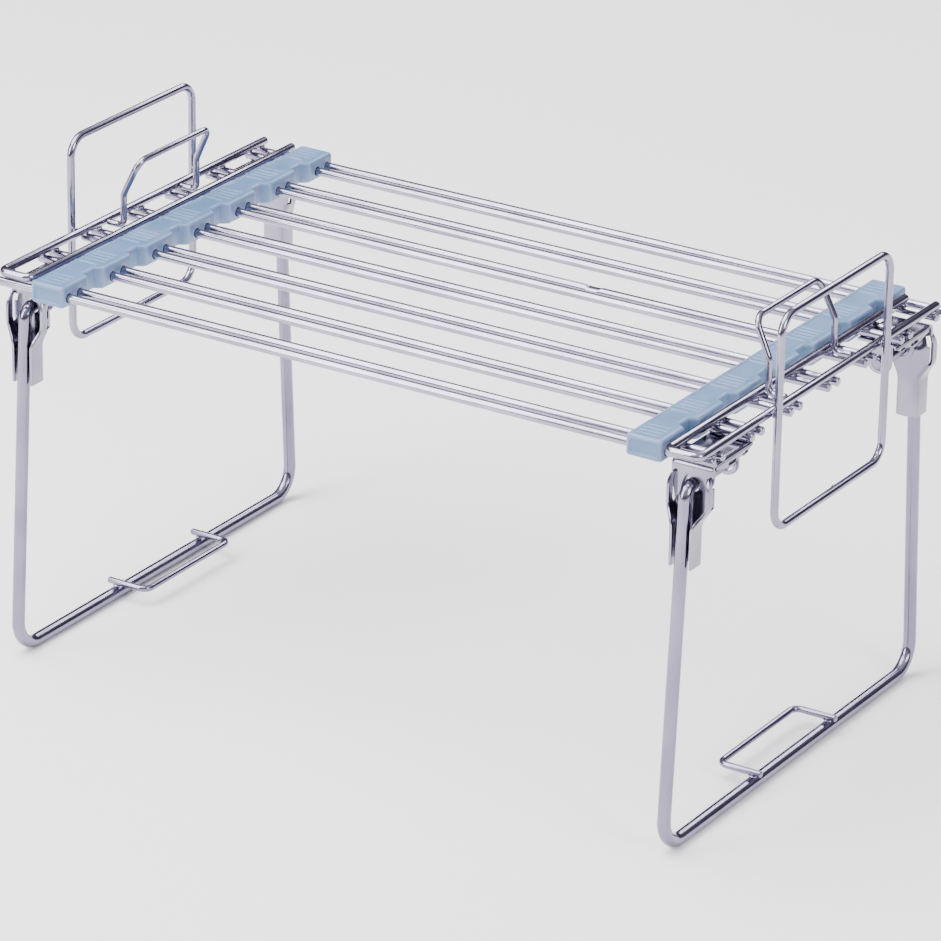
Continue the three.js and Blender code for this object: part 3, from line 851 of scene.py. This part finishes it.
# (inset, depth) in millimetres, from the middle of the panel in a bar end to its rim
END_PANEL = [(3.2, 0.50), (2.5, 0.50), (2.2, 0.42), (1.95, 0.12), (1.75, 0.0)]
BAR_STEPS = 520                       # sections along the straight part
BAR_TOP_STEPS = 52
BAR_CORNER_STEPS = 6
BAR_BORE = 2.3 * MM
BAR_RECESS = 3.4 * MM
BOSS_HALF = 9.7 * MM
BOSS_EASE = 3.4 * MM
PANEL_DEPTH = 0.55 * MM
PANEL_EASE = 0.45 * MM
PANEL_CORNER = 2.6 * MM
PANEL_HALF = 8.3 * MM
PANEL_REACH = 12.6 * MM               # how far across the top the sunk panels go
GROOVES = [-4.8 * MM, -1.6 * MM, 1.6 * MM, 4.8 * MM]
GROOVE_DEPTH = 0.50 * MM
GROOVE_WIDTH = 0.50 * MM
GROOVE_REACH = 13.0 * MM
GROOVE_FADE = 1.2 * MM
RELIEF_FADE = 0.9 * MM                # the top's pattern fades in over this much from each long edge


def ease(value):
    t = max(0.0, min(1.0, value))
    return t * t * (3 - 2 * t)


def from_pair(y, pitch):
    """Distance along the bar from the middle of the nearest pair of rods."""
    return y - pitch * round(y / pitch)


def boss_width(y, full, pitch):
    """Width of the bar at y: full at a boss and less between two bosses."""
    last_pair = (ROD_COUNT - 1) / 2 * pitch
    if abs(y) > last_pair:
        return full
    past = abs(from_pair(y, pitch)) - BOSS_HALF
    return full - BAR_RECESS * ease(past / BOSS_EASE)


def top_relief(across, y, pitch):
    """Height of the moulded pattern on the top: sunk panels, and grooves over each pair."""
    offset = from_pair(y, pitch)
    relief = 0.0
    reach = 1 - ease((across - GROOVE_REACH) / GROOVE_FADE)
    for groove in GROOVES:
        relief -= GROOVE_DEPTH * reach * math.exp(-(((offset - groove) / GROOVE_WIDTH) ** 2))
    from_panel = pitch / 2 - abs(offset)
    dx = across - (PANEL_REACH - PANEL_CORNER)
    dy = from_panel - (PANEL_HALF - PANEL_CORNER)
    outside = math.hypot(max(dx, 0.0), max(dy, 0.0)) + min(max(dx, dy), 0.0) - PANEL_CORNER
    if abs(y) < (ROD_COUNT - 1) / 2 * pitch:
        relief -= PANEL_DEPTH * ease(-outside / PANEL_EASE)
    return relief


def bar_section(y, inset, full, height, pitch):
    """Points round the bar at y as (across, up), all the way round a rounded rectangle."""
    width = boss_width(y, full, pitch)
    left, right = inset, width - inset
    bottom, top = inset, height - inset
    radius = max(BAR_END_CORNER, BAR_CORNER - inset)
    points = []
    for k in range(BAR_TOP_STEPS + 1):
        across = left + radius + (right - left - 2 * radius) * k / BAR_TOP_STEPS
        margin = min(across - left - radius, right - radius - across)
        fade = ease(margin / RELIEF_FADE) if inset == 0 else 0.0
        points.append((across, top + top_relief(across, y, pitch) * fade))
    corners = [(right - radius, top - radius, 90), (right - radius, bottom + radius, 0),
               (left + radius, bottom + radius, -90), (left + radius, top - radius, 180)]
    for centre_a, centre_b, start in corners:
        for k in range(1, BAR_CORNER_STEPS + 1):
            angle = math.radians(start - 90 * k / BAR_CORNER_STEPS)
            if k == BAR_CORNER_STEPS and start == 180:
                continue                # this point is the first of the top's
            points.append((centre_a + radius * math.cos(angle), centre_b + radius * math.sin(angle)))
    return points


def guide_bar(side, body):
    """Moulded bar with bosses round the rod pairs, a patterned top and a panel in each end."""
    node = f"{side}_guide_bar"
    low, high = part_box(node)
    full, height = high.x - low.x, high.z - low.z
    half_length = (high.y - low.y) / 2
    rods = [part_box(f"{half}_rod_{i}") for half in ("left", "right") for i in range(1, ROD_COUNT + 1)]
    left_rods = sorted((a.y + b.y) / 2 for a, b in rods[:ROD_COUNT])
    pitch = left_rods[1] - left_rods[0]
    sections = []
    for inset, depth in END_PANEL:
        sections.append((half_length - depth * MM, inset * MM))
    for k in range(BAR_CORNER_STEPS + 1):
        angle = math.pi / 2 * k / BAR_CORNER_STEPS
        y = half_length - BAR_END_ROUND * (1 - math.cos(angle))
        sections.append((y, BAR_END_ROUND * (1 - math.sin(angle))))
    straight = half_length - BAR_END_ROUND
    body_sections = [(straight - 2 * straight * k / BAR_STEPS, 0.0) for k in range(1, BAR_STEPS)]
    sections += body_sections + [(-y, inset) for y, inset in reversed(sections)]
    middle_y = (low.y + high.y) / 2
    bm = bmesh.new()
    rings = []
    for y, inset in sections:
        ring = bar_section(y, inset, full, height, pitch)
        rings.append([bm.verts.new((low.x + a, middle_y + y, low.z + b)) for a, b in ring])
    count = len(rings[0])
    for here, there in zip(rings, rings[1:]):
        for k in range(count):
            after = (k + 1) % count
            bm.faces.new((here[k], here[after], there[after], there[k]))
    bm.faces.new(rings[0])
    bm.faces.new(list(reversed(rings[-1])))
    bmesh.ops.recalc_face_normals(bm, faces=bm.faces)
    mesh = bpy.data.meshes.new(node)
    bm.to_mesh(mesh)
    bm.free()
    obj = new_object(f"{node}_moulding", mesh, PLASTIC)
    middle_x = (low.x + high.x) / 2
    bores = []
    for rod_low, rod_high in rods:
        centre = Vector((middle_x, (rod_low.y + rod_high.y) / 2, (rod_low.z + rod_high.z) / 2))
        bores.append(cylinder_mesh(centre, Vector((1, 0, 0)), BAR_BORE, 2 * full))
    cut_with(obj, bores)
    for polygon in obj.data.polygons:
        polygon.use_smooth = True
    shade_by_angle(obj, 50)
    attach(obj, body)
    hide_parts(node)


# ---- weld beads -----------------------------------------------------------------------------

def bead(centre, size, seed):
    """A small uneven bead of metal in the crook between two wires."""
    bm = bmesh.new()
    bmesh.ops.create_icosphere(bm, subdivisions=3, radius=1.0)
    for vert in bm.verts:
        wobble = 1 + 0.10 * math.sin(5 * vert.co.x + seed) * math.cos(4 * vert.co.y - 2 * seed)
        vert.co = Vector((vert.co.x * size[0], vert.co.y * size[1], vert.co.z * size[2])) * wobble + centre
    mesh = bpy.data.meshes.new("bead")
    bm.to_mesh(mesh)
    bm.free()
    return mesh


BEAD_OFF = 0.1 * MM                   # a bead's middle is this far outside the first wire, in the second
ROD_BEAD = (1.9 * MM, 1.9 * MM, 0.85 * MM)
LOOP_BEAD = (0.8 * MM, 1.8 * MM, 1.9 * MM)
FOOT_BEAD = (1.8 * MM, 1.7 * MM, 0.8 * MM)
LOOP_SEAM_Y = 6 * MM                  # where the loop's own two ends are welded together
LOOP_SEAM = (1.86 * MM, 1.3 * MM, 1.99 * MM)
LOOP_SEAM_INSET = 0.4 * MM


def weld_beads(half):
    """Beads where the rods and loop meet the end frame, on the loop's own seam, and on the leg."""
    inner, outer, _, _, low, high = half.extents("end_frame")
    wire = (high - low) / 2
    joint_z = low - BEAD_OFF
    beads = []
    for index in range(1, ROD_COUNT + 1):
        rod_low, rod_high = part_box(f"{half.side}_rod_{index}")
        y = (rod_low.y + rod_high.y) / 2 - half.middle_y
        for out in (inner + wire, outer - wire):
            beads.append(bead(half.at(out, y, joint_z), ROD_BEAD, index))
    loop = half.extents("stacking_loop")
    loop_wire = (loop[1] - loop[0]) / 2
    for y in (loop[2] + loop_wire, loop[3] - loop_wire):
        centre = half.at(loop[0] - BEAD_OFF, y, (low + high) / 2)
        beads.append(bead(centre, LOOP_BEAD, y / MM))
    loop_low = loop[4] + loop_wire
    loop_out = (loop[0] + loop[1]) / 2 - LOOP_SEAM_INSET
    beads.append(bead(half.at(loop_out, LOOP_SEAM_Y, loop_low), LOOP_SEAM, 3))
    obj = joined(f"{half.side}_frame_weld_beads", beads, FRAME)
    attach(obj, half.body)

    clip = half.extents("foot_clip")
    clip_wire = (clip[5] - clip[4]) / 2
    leg_out, _ = pivot(half)
    feet = []
    for y in (clip[2] + clip_wire, clip[3] - clip_wire):
        centre = half.at(leg_out, y, clip[4] - BEAD_OFF)
        feet.append(bead(centre, FOOT_BEAD, y / MM))
    obj = joined(f"{half.side}_foot_weld_beads", feet, LEG)
    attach(obj, half.leg_body)


# ---- studio ---------------------------------------------------------------------------------

FLOOR_SIZE = 14
LIGHT_AIM = (0, 0, 0.12)


def make_camera():
    azimuth, elevation, roll = CAMERA_AZIMUTH, CAMERA_ELEVATION, CAMERA_ROLL
    back = Vector((math.sin(azimuth) * math.cos(elevation),
                   -math.cos(azimuth) * math.cos(elevation), math.sin(elevation)))
    level_right = Vector((math.cos(azimuth), math.sin(azimuth), 0))
    level_up = back.cross(level_right)
    right = level_right * math.cos(roll) + level_up * math.sin(roll)
    up = level_up * math.cos(roll) - level_right * math.sin(roll)
    target = Vector((0, 0, CAMERA_TARGET_HEIGHT)) + right * CAMERA_SLIDE_RIGHT + up * CAMERA_SLIDE_UP
    data = bpy.data.cameras.new("camera")
    data.lens = CAMERA_LENS
    data.sensor_width = CAMERA_SENSOR
    data.clip_end = CAMERA_REACH
    camera = bpy.data.objects.new("camera", data)
    bpy.context.scene.collection.objects.link(camera)
    turn = Matrix((right, up, back)).transposed().to_4x4()
    camera.matrix_world = Matrix.Translation(target + back * CAMERA_DISTANCE) @ turn
    bpy.context.scene.camera = camera


def area_light(name, place, size, power, colour=(1, 1, 1)):
    data = bpy.data.lights.new(name, "AREA")
    data.shape = "RECTANGLE"
    data.size, data.size_y = size
    data.energy = power
    data.color = colour
    light = bpy.data.objects.new(name, data)
    bpy.context.scene.collection.objects.link(light)
    aim = (Vector(LIGHT_AIM) - Vector(place)).normalized()
    light.location = place
    light.rotation_mode = "QUATERNION"
    light.rotation_quaternion = aim.to_track_quat("-Z", "Y")


def sky_ramp(tree, height, stops):
    """Colours by height. stops is a list of (position, colour)."""
    ramp = tree.nodes.new("ShaderNodeValToRGB")
    while len(ramp.color_ramp.elements) < len(stops):
        ramp.color_ramp.elements.new(0.5)
    for element, (position, colour) in zip(ramp.color_ramp.elements, stops):
        element.position = position
        element.color = (*colour, 1)
    link(tree, height, ramp.inputs["Fac"])
    return ramp.outputs["Color"]


def make_world():
    """Soft surroundings, pale in front and overhead and dark low at the back, for the metal to reflect."""
    world = bpy.data.worlds.new("studio")
    bpy.context.scene.world = world
    world.use_nodes = True
    tree = world.node_tree
    coordinates = tree.nodes.new("ShaderNodeTexCoord")
    split = tree.nodes.new("ShaderNodeSeparateXYZ")
    link(tree, coordinates.outputs["Generated"], split.inputs["Vector"])
    height = split.outputs["Z"]
    front = sky_ramp(tree, height, [
        (0.0, (0.62, 0.60, 0.70)), (0.10, (0.16, 0.15, 0.20)), (0.22, (0.30, 0.28, 0.36)),
        (0.45, (0.85, 0.84, 0.90)), (0.9, (1.15, 1.15, 1.15))])
    back = sky_ramp(tree, height, [
        (0.0, (0.55, 0.53, 0.63)), (0.06, (0.20, 0.19, 0.24)), (0.30, (0.10, 0.09, 0.13)),
        (0.52, (0.34, 0.32, 0.40)), (0.9, (1.15, 1.15, 1.15))])
    side = remap(tree, split.outputs["Y"], 0, 1, -0.2, 0.4)
    link(tree, blend_colours(tree, side, front, back), tree.nodes["Background"].inputs["Color"])
    tree.nodes["Background"].inputs["Strength"].default_value = 1.0


def make_floor():
    bpy.ops.mesh.primitive_plane_add(size=FLOOR_SIZE, location=(0, 0, cad_low.z))
    floor = bpy.context.object
    floor.name = "studio_floor"
    floor.data.materials.append(pale_floor("pale_floor"))


# ---- assembly -------------------------------------------------------------------------------

make_camera()
make_world()
make_floor()
area_light("overhead", (-0.7, -0.5, 1.9), (1.8, 1.8), 95)
area_light("front_left", (-1.25, -1.8, 1.0), (1.0, 1.2), 42, (0.99, 0.98, 1.0))
area_light("right", (1.9, -0.6, 1.2), (0.7, 1.0), 26, (1.0, 0.99, 1.0))
area_light("behind", (-0.2, 1.9, 1.5), (1.4, 0.4), 16, (0.97, 0.97, 1.0))

for side_name in ("left", "right"):
    this_half = Half(side_name)
    end_frame(this_half)
    stacking_loop(this_half)
    stacking_arch(this_half)
    leg_wire(this_half)
    foot_clip(this_half)
    for number in range(1, ROD_COUNT + 1):
        shelf_rod(this_half, number)
    for end_name in ("front", "back"):
        hinge_bracket(this_half, end_name)
        leg_clip(this_half, end_name)
    weld_beads(this_half)
guide_bar("left", "right_half")
guide_bar("right", "root")
